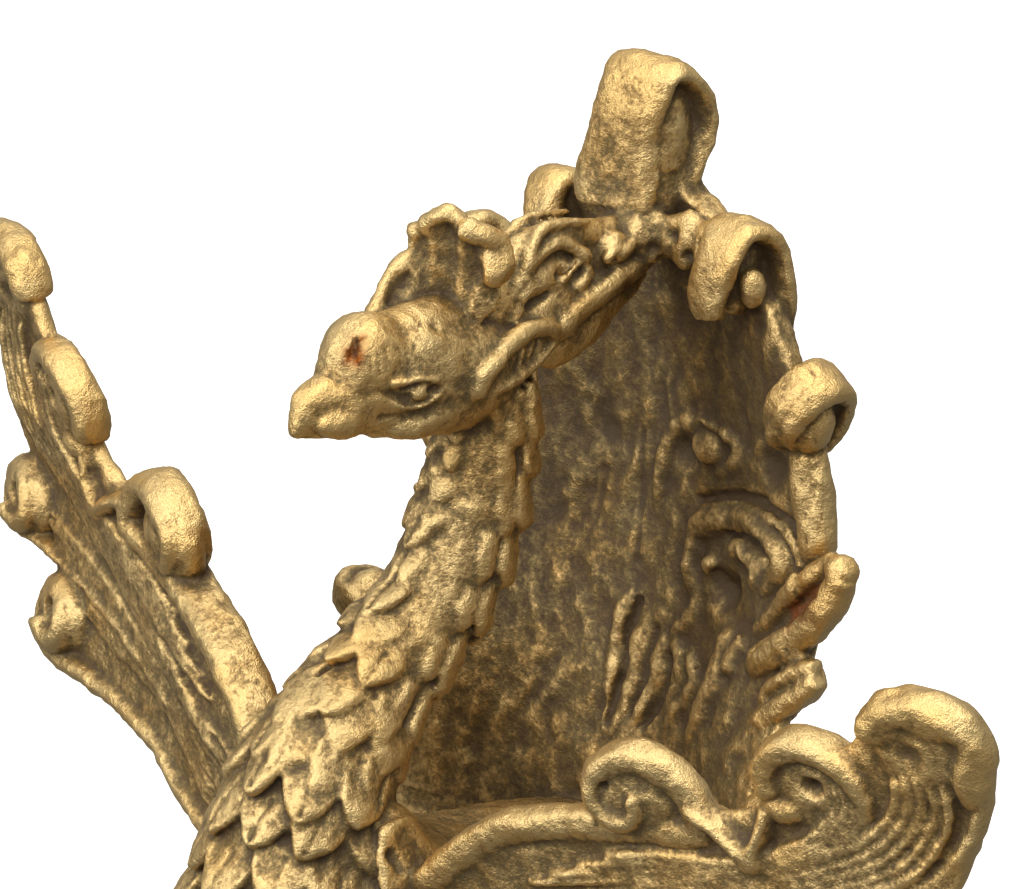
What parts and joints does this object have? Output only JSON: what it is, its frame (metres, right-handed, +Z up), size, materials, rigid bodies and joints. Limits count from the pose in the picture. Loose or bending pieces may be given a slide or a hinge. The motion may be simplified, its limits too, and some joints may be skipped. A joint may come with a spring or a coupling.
{
  "type": "phoenix figure",
  "caption": "Small cast brass phoenix table figure: curved neck, crested head, spread scrolled wings and an upright fan tail, standing on a low oval base.",
  "frame": {"origin": "middle of the base's flat underside", "axes": "+Z up, the bird faces -Y, its left wing points along +X"},
  "size_m": [0.0756, 0.0322, 0.0586],
  "materials": {
    "brass": "aged cast brass, dark in the recesses and rubbed bright on the high edges"
  },
  "bodies": {
    "root": {"phoenix_figure": "brass"}
  },
  "joints": []
}
